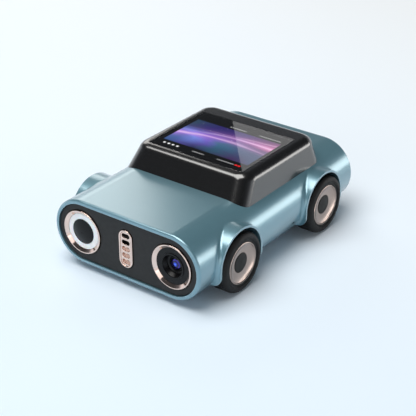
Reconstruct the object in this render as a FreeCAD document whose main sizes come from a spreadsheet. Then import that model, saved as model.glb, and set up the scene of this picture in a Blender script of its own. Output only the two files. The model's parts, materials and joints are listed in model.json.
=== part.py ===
import FreeCAD, Part
import math
import os
import re

import Sketcher

# A small four-wheeled robot car with two driven rear wheels, in millimetres.
# Origin: on the ground, under the middle of the car. The front faces -Y, +Z is up.

DIMENSIONS = {
    # shell: a tube of stadium section along Y
    "body_width": 94.0,
    "body_height": 36.2,
    "body_length": 140.6,
    "body_bottom": 3.4,
    "shell_wall": 2.2,
    "rim_round": 1.3,
    # wheels and their arches
    "wheel_radius": 16.1,
    "wheel_y": 38.6,
    "tyre_inner_x": 37.9,
    "tyre_outer_x": 50.3,
    "tyre_shoulder": 2.5,
    "rim_radius": 11.3,
    "rim_web_x": 45.6,
    "dish_radius": 10.4,
    "dish_rise": 1.15,
    "cap_radius": 5.3,
    "cap_seat_x": 46.9,
    "cap_top_x": 48.9,
    "axle_radius": 1.5,
    "running_gap": 0.05,
    "arch_width": 98.0,
    "arch_radius": 17.9,
    "arch_wall": 1.1,
    "arch_z": 17.9,
    "arch_front_y": 38.4,
    "arch_rear_y": 38.1,
    "arch_low": 10.0,
    "arch_corner": 5.0,
    "arch_flare": 1.8,
    "well_x": 36.2,
    # hatch in the floor
    "hatch_x": 27.0,
    "hatch_y": 29.0,
    "hatch_depth": 1.2,
    "hatch_ledge": 4.5,
    "hatch_gap": 0.15,
    "boss_high": 3.6,
    "hatch_screw_x": 24.75,
    "hatch_screw_y": 26.75,
    # end panels and what they carry
    "panel_gap": 0.2,
    "panel_recess": 0.8,
    "panel_plate": 2.5,
    "eye_x": 29.0,
    "eye_radius": 12.1,
    "eye_gap": 0.3,
    "eye_recess": 1.3,
    "eye_depth": 3.5,
    "lens_dome": 22.2,
    "lens_proud": 1.2,
    "camera_dome": 9.0,
    "disc_radius": 9.9,
    "glass_radius": 6.9,
    "barrel_radius": 7.0,
    "lens_radius": 4.1,
    "barrel_depth": 3.1,
    "pill_half_width": 4.3,
    "pill_half_height": 10.7,
    "slot_length": 5.0,
    "slot_height": 2.4,
    "slot_pitch": 3.67,
    "pill_lip": 1.0,
    "pill_sunk": 0.35,
    "pill_depth": 4.5,
    # cabin on top of the shell
    "cabin_low_z": 34.0,
    "cabin_low_front": -28.8,
    "cabin_low_rear": 51.5,
    "cabin_low_half": 40.0,
    "cabin_top_z": 50.8,
    "cabin_top_front": -16.5,
    "cabin_top_rear": 48.0,
    "cabin_top_half": 36.2,
    "cabin_corner": 9.0,
    "cabin_round": 5.2,
    "screen_half": 30.6,
    "screen_front": -13.2,
    "screen_rear": 36.2,
    "screen_thickness": 1.3,
    "screen_ledge": 1.5,
    "screen_corner": 1.2,
    "cabin_screw_x": 18.0,
    "cabin_screw_front": -17.5,
    "cabin_screw_rear": 41.0,
    # small screws
    "screw_radius": 0.85,
    "screw_head": 1.7,
    "screw_head_high": 0.8,
    # electronics
    "board_z": 24.0,
    "board_thick": 1.6,
    "board_half": 30.0,
    "board_front": -36.0,
    "board_rear": 18.0,
    "post_x": 22.0,
    "post_front": -33.0,
    "post_rear": 14.0,
    "post_radius": 2.2,
    "battery_half": 19.0,
    "battery_front": -23.0,
    "battery_rear": 16.0,
    "battery_high": 14.5,
    "button_x": 22.0,
    "button_radius": 3.9,
    "button_proud": 0.4,
    "speaker_x": -22.0,
    "speaker_radius": 9.5,
    "speaker_ring": 4.6,
    "socket_depth": 7.4,
    # drive train
    "tooth_module": 0.5,
    "wheel_teeth": 30,
    "pinion_teeth": 10,
    "gear_width": 2.0,
    "idler_dy": -6.0,
    "idler_dz": 8.0,
    "motor_dy": -14.0,
    "motor_dz": 2.0,
    "pin_radius": 0.75,
    "motor_radius": 6.0,
    "motor_length": 15.0,
    "frame_wall": 1.0,
    "frame_inner_x": 25.0,
    "frame_outer_x": 35.1,
}

# Values worked out from the others.
DERIVED = {
    "body_top": "body_bottom + body_height",
    "body_mid": "body_bottom + body_height / 2",
    "body_flat": "(body_width - body_height) / 2",
    "body_end": "body_length / 2",
    "inner_bottom": "body_bottom + shell_wall",
    "inner_top": "body_top - shell_wall",
    "hatch_open_x": "hatch_x - hatch_ledge",
    "hatch_open_y": "hatch_y - hatch_ledge",
    "hatch_top": "body_bottom + hatch_depth",
    "bulge_x": "body_flat + sqrt((body_height / 2) ^ 2 - (body_mid - arch_low) ^ 2)",
    "panel_face": "body_end - panel_recess",
    "panel_back": "panel_face - panel_plate",
    "bezel_back": "panel_recess + panel_plate",
    "rim_lip_x": "tyre_outer_x - 0.5",
    "dish_low_x": "rim_lip_x - 0.35 - dish_rise",
    "dish_curve": "(dish_rise ^ 2 + (dish_radius - cap_radius - 0.1) ^ 2) / (2 * dish_rise)",
    "wheel_gear_x": "frame_inner_x + 4.5",
    "idler_gear_x": "frame_inner_x + 1.5",
    "board_top": "board_z + board_thick",
    "screen_bottom": "cabin_top_z - screen_thickness",
}

doc = FreeCAD.newDocument("robot_car")
sheet = doc.addObject("Spreadsheet::Sheet", "dims")
ALIAS = re.compile(r"\b(" + "|".join([*DIMENSIONS, *DERIVED]) + r")\b")
nodes = []


def rule(text):
    """An expression over the sheet's aliases."""
    return ALIAS.sub(r"dims.\1", str(text))


def value(text):
    """The number that an expression gives now."""
    return float(sheet.evalExpression(ALIAS.sub(r".\1", str(text))))


def fill_sheet():
    """Writes the driving dimensions and the worked-out ones into the sheet."""
    for row, (name, number) in enumerate([*DIMENSIONS.items(), *DERIVED.items()], start=1):
        sheet.set(f"A{row}", name)
        sheet.set(f"B{row}", str(number) if name in DIMENSIONS else "=" + number)
        sheet.setAlias(f"B{row}", name)
    doc.recompute()


def place(piece, x="0", y="0", z="0", turn=None):
    """Ties an object's place to the sheet, with an optional fixed rotation (axis, degrees)."""
    if turn:
        piece.Placement.Rotation = FreeCAD.Rotation(FreeCAD.Vector(*turn[0]), turn[1])
    for axis, text in zip("xyz", (x, y, z)):
        piece.setExpression("Placement.Base." + axis, rule(text))
    return piece


def keep(piece, node):
    """Names a finished sub-part; its label is its node and its file."""
    piece.Label = node
    nodes.append(piece)
    return piece


# ---------------------------------------------------------------- sketches and bodies


def new_body(node):
    return keep(doc.addObject("PartDesign::Body", node), node)


def line(u, v):
    """A straight edge that starts at (u, v)."""
    return ("line", u, v)


def arc(u, v, centre_u, centre_v, turns_left=True):
    """A round edge that starts at (u, v) and turns about a centre."""
    return ("arc", u, v, centre_u, centre_v, turns_left)


def circle(u, v, radius):
    return ("circle", u, v, radius)


def box_loop(low_u, low_v, high_u, high_v):
    return [line(low_u, low_v), line(high_u, low_v), line(high_u, high_v), line(low_u, high_v)]


def stadium_loop(flat, low, high, mid):
    """A lying stadium: straight top and bottom, half-round sides."""
    return [
        line(f"-({flat})", low),
        arc(flat, low, flat, mid),
        line(flat, high),
        arc(f"-({flat})", high, f"-({flat})", mid),
    ]


def rounded_loop(low_u, low_v, high_u, high_v, radius):
    """A rectangle with round corners."""
    lu, lv, hu, hv = f"({low_u})", f"({low_v})", f"({high_u})", f"({high_v})"
    inner = {"lu": f"{lu}+{radius}", "lv": f"{lv}+{radius}", "hu": f"{hu}-{radius}", "hv": f"{hv}-{radius}"}
    return [
        line(inner["lu"], lv),
        arc(inner["hu"], lv, inner["hu"], inner["lv"]),
        line(hu, inner["lv"]),
        arc(hu, inner["hv"], inner["hu"], inner["hv"]),
        line(inner["hu"], hv),
        arc(inner["lu"], hv, inner["lu"], inner["hv"]),
        line(lu, inner["hv"]),
        arc(lu, inner["lv"], inner["lu"], inner["lv"]),
    ]


def tie(drawing, kind, item, point, text):
    """Fixes one coordinate of a sketch point to an expression."""
    number = drawing.addConstraint(Sketcher.Constraint(kind, -1, 1, item, point, value(text)))
    drawing.setExpression(f"Constraints[{number}]", rule(text))


def tie_radius(drawing, item, text):
    number = drawing.addConstraint(Sketcher.Constraint("Radius", item, value(text)))
    drawing.setExpression(f"Constraints[{number}]", rule(text))


def draw_circle(drawing, loop):
    _, u, v, radius = loop
    centre = FreeCAD.Vector(value(u), value(v), 0)
    item = drawing.addGeometry(Part.Circle(centre, FreeCAD.Vector(0, 0, 1), value(radius)), False)
    tie(drawing, "DistanceX", item, 3, u)
    tie(drawing, "DistanceY", item, 3, v)
    tie_radius(drawing, item, radius)


def arc_shape(start, end, centre, turns_left):
    """An arc from start to end, which a sketch stores anticlockwise."""
    if not turns_left:
        start, end = end, start
    angles = [math.atan2(p.y - centre.y, p.x - centre.x) for p in (start, end)]
    whole = Part.Circle(centre, FreeCAD.Vector(0, 0, 1), start.distanceToPoint(centre))
    return Part.ArcOfCircle(whole, *angles)


def draw_loop(drawing, loop):
    """Adds one closed outline whose corners are all tied to the sheet."""
    corners = [FreeCAD.Vector(value(edge[1]), value(edge[2]), 0) for edge in loop]
    items = []
    ends = []
    for here, edge in enumerate(loop):
        start, end = corners[here], corners[(here + 1) % len(loop)]
        if edge[0] == "line":
            items.append(drawing.addGeometry(Part.LineSegment(start, end), False))
            ends.append((1, 2))
            continue
        centre = FreeCAD.Vector(value(edge[3]), value(edge[4]), 0)
        items.append(drawing.addGeometry(arc_shape(start, end, centre, edge[5]), False))
        ends.append((1, 2) if edge[5] else (2, 1))
    for here, edge in enumerate(loop):
        after = (here + 1) % len(loop)
        joined = (items[here], ends[here][1], items[after], ends[after][0])
        drawing.addConstraint(Sketcher.Constraint("Coincident", *joined))
        tie(drawing, "DistanceX", items[here], ends[here][0], edge[1])
        tie(drawing, "DistanceY", items[here], ends[here][0], edge[2])
        if edge[0] == "arc":
            chord = corners[after] - corners[here]
            sideways = abs(chord.x) > abs(chord.y)
            tie(drawing, "DistanceY" if sideways else "DistanceX", items[here], 3, edge[4 if sideways else 3])


def sketch(body, role, *loops, offset="0", turn=0.0):
    """A sketch on one of the body's origin planes, moved along its normal by offset."""
    plane = next(f for f in body.Origin.OriginFeatures if f.Role == role)
    drawing = body.newObject("Sketcher::SketchObject", body.Name + "_sketch")
    drawing.AttachmentSupport = [(plane, "")]
    drawing.MapMode = "FlatFace"
    drawing.AttachmentOffset.Rotation = FreeCAD.Rotation(FreeCAD.Vector(0, 0, 1), turn)
    drawing.setExpression("AttachmentOffset.Base.z", rule(offset))
    for loop in loops:
        if loop[0] == "circle":
            draw_circle(drawing, loop)
        else:
            draw_loop(drawing, loop)
    return drawing


def extrude(kind, body, drawing, length, both=False, backwards=False):
    """A pad or a pocket along the sketch's normal; a pocket starts against it."""
    feature = body.newObject("PartDesign::" + kind, body.Name + "_" + kind.lower())
    feature.Profile = drawing
    feature.setExpression("Length", rule(length))
    feature.SideType = "Symmetric" if both else "One side"
    feature.Reversed = backwards
    doc.recompute()
    return feature


def pad(body, drawing, length, **options):
    return extrude("Pad", body, drawing, length, **options)


def pocket(body, drawing, length, **options):
    """Cuts, and stops if nothing was cut."""
    before = body.Shape.Volume
    feature = extrude("Pocket", body, drawing, length, **options)
    if body.Shape.Volume >= before - 1e-6:
        raise RuntimeError(body.Label + ": a pocket cut nothing")
    return feature


def revolve(node, role, axis, *loops):
    """A turned piece: loops in a plane, spun about that sketch's own axis."""
    body = new_body(node)
    drawing = sketch(body, role, *loops)
    feature = body.newObject("PartDesign::Revolution", body.Name + "_turned")
    feature.Profile = drawing
    feature.ReferenceAxis = (drawing, [axis])
    feature.Angle = 360
    doc.recompute()
    return body


def soften(body, radius, wanted):
    """Rounds every edge of the body that the test picks."""
    base = body.Tip
    names = [f"Edge{i}" for i, edge in enumerate(base.Shape.Edges, start=1) if wanted(edge)]
    feature = body.newObject("PartDesign::Fillet", body.Name + "_fillet")
    feature.Base = (base, names)
    feature.setExpression("Radius", rule(radius))
    doc.recompute()
    return feature


# ---------------------------------------------------------------- primitives and booleans


def block(name, low, high):
    """A box between two corners given as expressions."""
    piece = doc.addObject("Part::Box", name)
    for side, a, b in zip(("Length", "Width", "Height"), low, high):
        piece.setExpression(side, rule(f"({b}) - ({a})"))
    return place(piece, *low)


AXIS_TURN = {"x": ((0, 1, 0), 90), "y": ((1, 0, 0), -90), "z": None}


def rod(name, radius, length, start, axis="z"):
    """A cylinder that starts at a point and runs along +X, +Y or +Z."""
    piece = doc.addObject("Part::Cylinder", name)
    piece.setExpression("Radius", rule(radius))
    piece.setExpression("Height", rule(length))
    return place(piece, *start, turn=AXIS_TURN[axis])


def fuse(name, *shapes):
    piece = doc.addObject("Part::MultiFuse", name)
    piece.Shapes = list(shapes)
    return piece


def cut(name, base, *tools):
    piece = doc.addObject("Part::Cut", name)
    piece.Base = base
    piece.Tool = tools[0] if len(tools) == 1 else fuse(name + "_tools", *tools)
    return piece


def corners_of(x, low_y, high_y):
    """The four corners (x, y) of a fixing pattern."""
    return [(a, b) for a in (f"-({x})", x) for b in (low_y, high_y)]


def screw(name, x, y, head_z, length):
    """A pan-head screw that points up, with the top of its head at head_z."""
    head = rod(name + "_head", "screw_head", "screw_head_high", (x, y, f"{head_z} - screw_head_high"))
    shank = rod(name + "_shank", "screw_radius", length, (x, y, head_z))
    return fuse(name, head, shank)


def group(node, solids):
    """Identical separate fasteners that share one node."""
    piece = doc.addObject("Part::Compound", node)
    piece.Links = solids
    return keep(piece, node)


# ---------------------------------------------------------------- shell


def arch_loop(centre_y, radius, low):
    """An inverted U in the YZ plane."""
    left, right = f"({centre_y}) - ({radius})", f"({centre_y}) + ({radius})"
    return [line(left, low), line(right, low), arc(right, "arch_z", centre_y, "arch_z"), line(left, "arch_z")]


ARCHES = ("-arch_front_y", "arch_rear_y")


def shell_outside(body):
    """The right half of the tube with its two flared fenders, mirrored, with round end rims."""
    half = [
        line("0", "body_bottom"),
        arc("body_flat", "body_bottom", "body_flat", "body_mid"),
        line("body_flat", "body_top"),
        line("0", "body_top"),
    ]
    pad(body, sketch(body, "XZ_Plane", half), "body_length", both=True)
    for centre in ARCHES:
        pad(body, sketch(body, "YZ_Plane", arch_loop(centre, "arch_radius", "arch_low")), "arch_width / 2")
    side, bottom, end = value("arch_width / 2"), value("arch_low"), value("body_end")
    for front in (True, False):
        soften(body, "arch_flare", lambda edge: edge.Curve.TypeId != "Part::GeomLine"
               and value("body_flat") < edge.CenterOfMass.x < side - 0.1
               and abs(edge.CenterOfMass.y) < end - 1 and (edge.CenterOfMass.y < 0) == front)
    soften(body, "arch_corner", lambda edge: abs(edge.CenterOfMass.x - side) < 1e-3
           and abs(edge.CenterOfMass.z - bottom) < 1e-3)
    mirror = body.newObject("PartDesign::Mirrored", "body_shell_mirror")
    mirror.TransformMode = "Whole shape"
    mirror.MirrorPlane = (next(f for f in body.Origin.OriginFeatures if f.Role == "YZ_Plane"), [""])
    body.Tip = mirror
    doc.recompute()
    soften(body, "rim_round", lambda edge: abs(abs(edge.CenterOfMass.y) - end) < 1e-3)


def below_bulge(side):
    """The space under the tube's round side, up to the lower end of the fenders."""
    middle, edge, out = f"{side} * body_flat", f"{side} * bulge_x", f"{side} * (arch_width / 2 + 1)"
    return [
        arc(middle, "body_bottom", middle, "body_mid", side > 0),
        line(edge, "arch_low"),
        line(out, "arch_low"),
        line(out, "body_bottom - 1"),
        line(middle, "body_bottom - 1"),
    ]


def shell_inside(body):
    """Hollows the tube, lines the wheel wells, opens them and trims the liners to the tube."""
    pocket(body, sketch(body, "XZ_Plane", stadium_loop("body_flat", "inner_bottom", "inner_top", "body_mid")),
           "body_length + 2", both=True)
    for side in (1, -1):
        for centre in ARCHES:
            liner = sketch(body, "YZ_Plane", arch_loop(centre, "arch_radius", "body_bottom"),
                           offset=f"{side} * (well_x - arch_wall)")
            pad(body, liner, "body_width / 2 - well_x - 1", backwards=side < 0)
            well = sketch(body, "YZ_Plane", arch_loop(centre, "arch_radius - arch_wall", "body_bottom - 2"),
                          offset=f"{side} * well_x")
            pocket(body, well, "20", backwards=side > 0)
    for side in (1, -1):
        pocket(body, sketch(body, "XZ_Plane", below_bulge(side)), "2 * arch_front_y + 2 * arch_radius + 10", both=True)


def shell_floor(body):
    """The hatch opening with its ledge, and the bosses for its screws."""
    pocket(body, sketch(body, "XY_Plane", box_loop("-hatch_x", "-hatch_y", "hatch_x", "hatch_y"),
                        offset="body_bottom - 1"), "hatch_depth + 1", backwards=True)
    opening = box_loop("-hatch_open_x", "-hatch_open_y", "hatch_open_x", "hatch_open_y")
    pocket(body, sketch(body, "XY_Plane", opening, offset="body_bottom"), "shell_wall + 1", backwards=True)
    spots = corners_of("hatch_screw_x", "-hatch_screw_y", "hatch_screw_y")
    bosses = [circle(x, y, "2.2") for x, y in spots]
    pad(body, sketch(body, "XY_Plane", *bosses, offset="hatch_top"), "boss_high")
    pocket(body, sketch(body, "XY_Plane", *[circle(x, y, "screw_radius + running_gap") for x, y in spots],
                        offset="hatch_top"), "boss_high - 0.3", backwards=True)


def shell_openings(body):
    """The wiring hole under the cabin, screw holes, axle holes and the small side slot."""
    roof = [circle(x, y, "screw_radius + 0.15")
            for x, y in corners_of("cabin_screw_x", "cabin_screw_front", "cabin_screw_rear")]
    pocket(body, sketch(body, "XY_Plane", box_loop("-24", "-6", "24", "30"), *roof, offset="body_top - 6"),
           "8", backwards=True)
    axles = [circle(y, "wheel_radius", "axle_radius + 0.7") for y in ("-wheel_y", "wheel_y")]
    pocket(body, sketch(body, "YZ_Plane", *axles, offset="-(well_x + 2)"), "2 * well_x + 4", backwards=True)
    slot = rounded_loop("11.6", "14.7", "13.8", "15.7", "0.45")
    pocket(body, sketch(body, "YZ_Plane", slot, offset="40"), "10", backwards=True)


def body_shell():
    body = new_body("body_shell")
    shell_outside(body)
    shell_inside(body)
    shell_floor(body)
    shell_openings(body)


def bottom_cover():
    """A flat plate that fills the hatch recess, with counterbored screw holes."""
    spots = corners_of("hatch_screw_x", "-hatch_screw_y", "hatch_screw_y")
    plate = block("cover_plate", ("-hatch_x + hatch_gap", "-hatch_y + hatch_gap", "body_bottom"),
                  ("hatch_x - hatch_gap", "hatch_y - hatch_gap", "hatch_top"))
    holes = []
    for i, (x, y) in enumerate(spots):
        holes.append(rod(f"cover_hole_{i}", "screw_radius + 0.1", "3", (x, y, "body_bottom - 1")))
        holes.append(rod(f"cover_sink_{i}", "screw_head + 0.15", "screw_head_high + 1",
                         (x, y, "body_bottom - 1")))
    keep(cut("cover", plate, *holes), "bottom_cover")
    screws = [screw(f"bottom_screw_{i}", x, y, "body_bottom + screw_head_high", "boss_high - 0.2")
              for i, (x, y) in enumerate(spots)]
    group("bottom_screws", screws)


# ---------------------------------------------------------------- front and rear panels


def panel_body(node, *openings):
    """A stadium plate for the mouth of the shell; its body points out of the car along +Z."""
    body = new_body(node)
    flat, half = "body_flat", "body_height / 2 - shell_wall - panel_gap"
    outline = stadium_loop(flat, f"-({half})", half, "0")
    pad(body, sketch(body, "XY_Plane", outline, *openings), "panel_plate", backwards=True)
    soften(body, "0.4", lambda edge: abs(edge.CenterOfMass.z) < 1e-4)
    return body


def pill_loop(u, half_width, half_height):
    """An upright stadium about (u, 0)."""
    left, right = f"({u}) - ({half_width})", f"({u}) + ({half_width})"
    top, bottom = f"({half_height}) - ({half_width})", f"({half_width}) - ({half_height})"
    return [
        line(right, bottom),
        arc(right, top, u, top),
        line(left, top),
        arc(left, bottom, u, bottom),
    ]


def front_panel():
    """The matt plate with two round eyes and an upright pill cut out of it."""
    eyes = [circle(f"{side} * eye_x", "0", "eye_radius + eye_gap") for side in (-1, 1)]
    body = panel_body("front_panel", *eyes, pill_loop("0", "pill_half_width + 0.25", "pill_half_height + 0.25"))
    place(body, "0", "-panel_face", "body_mid", turn=((1, 0, 0), 90))


def rear_panel():
    """The same plate with holes for the socket, the power button and the sound."""
    body = panel_body(
        "rear_panel",
        rounded_loop("-4.8", "-2.0", "4.8", "2.0", "1.9"),
        circle("-button_x", "0", "button_radius + 0.3"),
        *[circle(f"-({x})", z, "0.9") for x, z in speaker_holes()],
    )
    body.Placement.Rotation = FreeCAD.Rotation(FreeCAD.Vector(0, 1, 1), 180)
    place(body, "0", "panel_face", "body_mid")


def speaker_holes():
    """A ring of eight holes round one, in front of the speaker."""
    ring = [(f"speaker_x + speaker_ring * cos({45 * k})", f"speaker_ring * sin({45 * k})") for k in range(8)]
    return [("speaker_x", "0"), *ring]


def face_forward(body, x, depth="0"):
    """Puts a piece that is turned about +Z into the front, its +Z towards -Y."""
    place(body, x, f"-body_end + 0.1 + ({depth})", "body_mid", turn=((1, 0, 0), 90))


def bezel(node, x):
    """A polished ring: a narrow lip, a bevel inward, and a flange behind the panel."""
    inner, flange = "disc_radius + 0.1", "eye_radius + 1.2"
    loop = [
        line(inner, "-eye_recess"),
        line("eye_radius - 0.7", "0"),
        arc("eye_radius - 0.35", "0", "eye_radius - 0.35", "-0.35", False),
        line("eye_radius", "-0.35"),
        line("eye_radius", "-bezel_back"),
        line(flange, "-bezel_back"),
        line(flange, "-bezel_back - 1"),
        line(inner, "-bezel_back - 1"),
    ]
    face_forward(revolve(node, "XZ_Plane", "V_Axis", loop), x)


def lamp():
    """Bezel, white light ring, domed dark lens and the board behind them."""
    bezel("lamp_bezel", "-eye_x")
    diffuser = box_loop("glass_radius + 0.05", "-eye_recess - eye_depth",
                        "disc_radius - 0.05", "-eye_recess - 0.05")
    face_forward(revolve("lamp_diffuser", "XZ_Plane", "V_Axis", diffuser), "-eye_x")
    centre = "-eye_recess + lens_proud - lens_dome"
    dome = [
        line("0", "-eye_recess - eye_depth"),
        line("glass_radius", "-eye_recess - eye_depth"),
        arc("glass_radius", f"{centre} + sqrt(lens_dome ^ 2 - glass_radius ^ 2)", "0", centre),
        line("0", "-eye_recess + lens_proud"),
    ]
    face_forward(revolve("lamp_lens", "XZ_Plane", "V_Axis", dome), "-eye_x")
    board = rod("lamp_disc", "11", "1.6", ("-eye_x", "-body_end + 7.5", "body_mid"), "y")
    leds = []
    for k in range(8):
        x, z = f"-eye_x + 8.4 * cos({45 * k})", f"body_mid + 8.4 * sin({45 * k})"
        leds.append(block(f"led_{k}", (f"{x} - 0.8", "-body_end + 6.6", f"{z} - 0.8"),
                          (f"{x} + 0.8", "-body_end + 7.5", f"{z} + 0.8")))
    keep(fuse("lamp_board_solid", board, *leds), "lamp_board")


def camera():
    """Bezel, black plate, stepped barrel, coated lens and the sensor board."""
    bezel("camera_bezel", "eye_x")
    plate = box_loop("barrel_radius + 0.05", "-eye_recess - eye_depth",
                     "disc_radius - 0.05", "-eye_recess - 0.05")
    face_forward(revolve("camera_plate", "XZ_Plane", "V_Axis", plate), "eye_x")
    front, deep = "-eye_recess + 0.3", "-eye_recess - barrel_depth"
    barrel = [
        line("lens_radius + 0.02", deep),
        line("lens_radius + 0.9", f"{deep} + 0.5"),
        line("lens_radius + 0.9", f"{deep} + 1.1"),
        line("barrel_radius - 0.9", f"{front} - 0.5"),
        line("barrel_radius - 0.9", front),
        line("barrel_radius", front),
        line("barrel_radius", "-eye_recess - 8"),
        line("lens_radius + 0.02", "-eye_recess - 8"),
    ]
    face_forward(revolve("camera_barrel", "XZ_Plane", "V_Axis", barrel), "eye_x")
    centre = f"{deep} - sqrt(camera_dome ^ 2 - lens_radius ^ 2)"
    lens = [
        line("0", f"{deep} - 3"),
        line("lens_radius", f"{deep} - 3"),
        arc("lens_radius", deep, "0", centre),
        line("0", f"{centre} + camera_dome"),
    ]
    face_forward(revolve("camera_lens", "XZ_Plane", "V_Axis", lens), "eye_x")
    board = block("camera_card", ("eye_x - 6.5", "-body_end + 9.7", "body_mid - 11"),
                  ("eye_x + 6.5", "-body_end + 11.3", "body_mid + 11"))
    sensor = block("camera_sensor", ("eye_x - 2.5", "-body_end + 8.7", "body_mid - 2.5"),
                   ("eye_x + 2.5", "-body_end + 9.7", "body_mid + 2.5"))
    keep(fuse("camera_board_solid", board, sensor), "camera_board")


def grille():
    """The upright pill with five oval slots, and the microphone board behind it."""
    body = new_body("grille_bezel")
    pad(body, sketch(body, "XY_Plane", pill_loop("0", "pill_half_width", "pill_half_height")), "pill_depth",
        backwards=True)
    soften(body, "0.7", lambda edge: abs(edge.CenterOfMass.z) < 1e-4)
    field = pill_loop("0", "pill_half_width - pill_lip", "pill_half_height - pill_lip")
    pocket(body, sketch(body, "XY_Plane", field), "pill_sunk")
    reach, high = "(slot_length - slot_height) / 2", "slot_height / 2"
    slots = []
    for k in range(-2, 3):
        mid = f"{k} * slot_pitch"
        slots.append([
            line(f"-({reach})", f"{mid} - {high}"),
            arc(reach, f"{mid} - {high}", reach, mid),
            line(reach, f"{mid} + {high}"),
            arc(f"-({reach})", f"{mid} + {high}", f"-({reach})", mid),
        ])
    pocket(body, sketch(body, "XY_Plane", *slots), "3")
    floor, wide, tall = -value("pill_sunk"), value("slot_length") + 0.1, value("slot_height") + 0.1
    soften(body, "0.28", lambda edge: abs(edge.CenterOfMass.z - floor) < 1e-3
           and edge.BoundBox.XLength < wide and edge.BoundBox.YLength < tall)
    face_forward(body, "0", "0.1")
    keep(block("mic_card", ("-4", "-body_end + 5.5", "body_mid - 9"), ("4", "-body_end + 6.7", "body_mid + 9")),
         "mic_board")


def rear_fittings():
    """Socket, power button with its switch, and the speaker."""
    shell = rounded_loop("-4.47", "-1.63", "4.47", "1.63", "1.6")
    bore = rounded_loop("-4.17", "-1.33", "4.17", "1.33", "1.3")
    body = new_body("usb_socket")
    pad(body, sketch(body, "XZ_Plane", shell), "socket_depth")
    pocket(body, sketch(body, "XZ_Plane", bore, offset="1"), "8", backwards=True)
    pad(body, sketch(body, "XZ_Plane", box_loop("-3.3", "-0.35", "3.3", "0.35"), offset="0.2"), "5.8")
    place(body, "0", "panel_face - socket_depth", "body_mid", turn=((0, 0, 1), 180))
    face, flange = "panel_face + button_proud", "button_radius + 0.8"
    loop = [
        line("0", "-5.2"),
        line("1.2", "-5.2"),
        line("1.2", "-4.1"),
        line(flange, "-4.1"),
        line(flange, "-3.2"),
        line("button_radius", "-3.2"),
        arc("button_radius", "-0.5", "button_radius - 0.5", "-0.5"),
        line("button_radius - 0.5", "0"),
        line("0", "-0.25"),
    ]
    button = revolve("power_button", "XZ_Plane", "V_Axis", loop)
    place(button, "button_x", face, "body_mid", turn=((1, 0, 0), -90))
    keep(block("switch", ("button_x - 3", f"{face} - 10", "body_mid - 3"),
               ("button_x + 3", f"{face} - 6.3", "body_mid + 3")), "power_switch")
    driver = [
        line("0", "0"),
        line("speaker_radius", "0"),
        line("speaker_radius", "2"),
        line("speaker_radius - 3", "5"),
        line("0", "5"),
    ]
    speaker = revolve("speaker", "XZ_Plane", "V_Axis", driver)
    place(speaker, "speaker_x", "panel_back - 0.2", "body_mid", turn=((1, 0, 0), 90))


# ---------------------------------------------------------------- cabin and screen


CABIN_WEDGE = {
    "Xmin": "-cabin_low_half",
    "Xmax": "cabin_low_half",
    "X2min": "-cabin_top_half",
    "X2max": "cabin_top_half",
    "Ymin": "cabin_low_z",
    "Ymax": "cabin_top_z",
    "Zmin": "-cabin_low_rear",
    "Zmax": "-cabin_low_front",
    "Z2min": "-cabin_top_rear",
    "Z2max": "-cabin_top_front",
}


def cabin_shell():
    """A tapered block with rounded edges, hollow below, with a seat for the screen glass."""
    body = new_body("cabin_shell")
    wedge = body.newObject("PartDesign::AdditiveWedge", "cabin_wedge")
    plane = next(f for f in body.Origin.OriginFeatures if f.Role == "XZ_Plane")
    wedge.AttachmentSupport = [(plane, "")]
    wedge.MapMode = "FlatFace"
    for side, text in CABIN_WEDGE.items():
        wedge.setExpression(side, rule(text))
    doc.recompute()
    roof, middle = value("cabin_top_z"), value("(cabin_low_z + cabin_top_z) / 2")
    soften(body, "cabin_corner", lambda edge: abs(edge.CenterOfMass.z - middle) < 1e-3)
    soften(body, "cabin_round", lambda edge: abs(edge.CenterOfMass.z - roof) < 1e-3)
    around = stadium_loop("body_flat", "body_bottom - 0.05", "body_top + 0.05", "body_mid")
    pocket(body, sketch(body, "XZ_Plane", around), "body_length + 2", both=True)
    seat = rounded_loop("-screen_half - 0.1", "screen_front - 0.1", "screen_half + 0.1", "screen_rear + 0.1",
                        "screen_corner")
    pocket(body, sketch(body, "XY_Plane", seat, offset="screen_bottom"), "3", backwards=True)
    inside = ("screen_half - screen_ledge", "screen_front + screen_ledge", "screen_rear - screen_ledge")
    hollow = box_loop(f"-({inside[0]})", inside[1], inside[0], inside[2])
    pocket(body, sketch(body, "XY_Plane", hollow, offset="body_mid"), "40", backwards=True)
    holes = [circle(x, y, "screw_radius + running_gap")
             for x, y in corners_of("cabin_screw_x", "cabin_screw_front", "cabin_screw_rear")]
    pocket(body, sketch(body, "XY_Plane", *holes, offset="body_mid"), "body_height / 2 + 5.2", backwards=True)
    screws = [screw(f"cabin_screw_{i}", x, y, "inner_top", "6.8")
              for i, (x, y) in enumerate(corners_of("cabin_screw_x", "cabin_screw_front", "cabin_screw_rear"))]
    group("cabin_screws", screws)


def screen():
    """The flush glass and the display panel stuck under it."""
    body = new_body("screen_glass")
    outline = rounded_loop("-screen_half", "screen_front", "screen_half", "screen_rear", "screen_corner")
    pad(body, sketch(body, "XY_Plane", outline, offset="screen_bottom"), "screen_thickness")
    top = value("cabin_top_z")
    soften(body, "0.3", lambda edge: abs(edge.CenterOfMass.z - top) < 1e-3)
    side = "screen_half - screen_ledge - 0.2"
    keep(block("display", (f"-({side})", "screen_front + screen_ledge + 0.2", "screen_bottom - 3"),
               (side, "screen_rear - screen_ledge - 0.2", "screen_bottom")), "display_panel")


# ---------------------------------------------------------------- electronics


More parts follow.
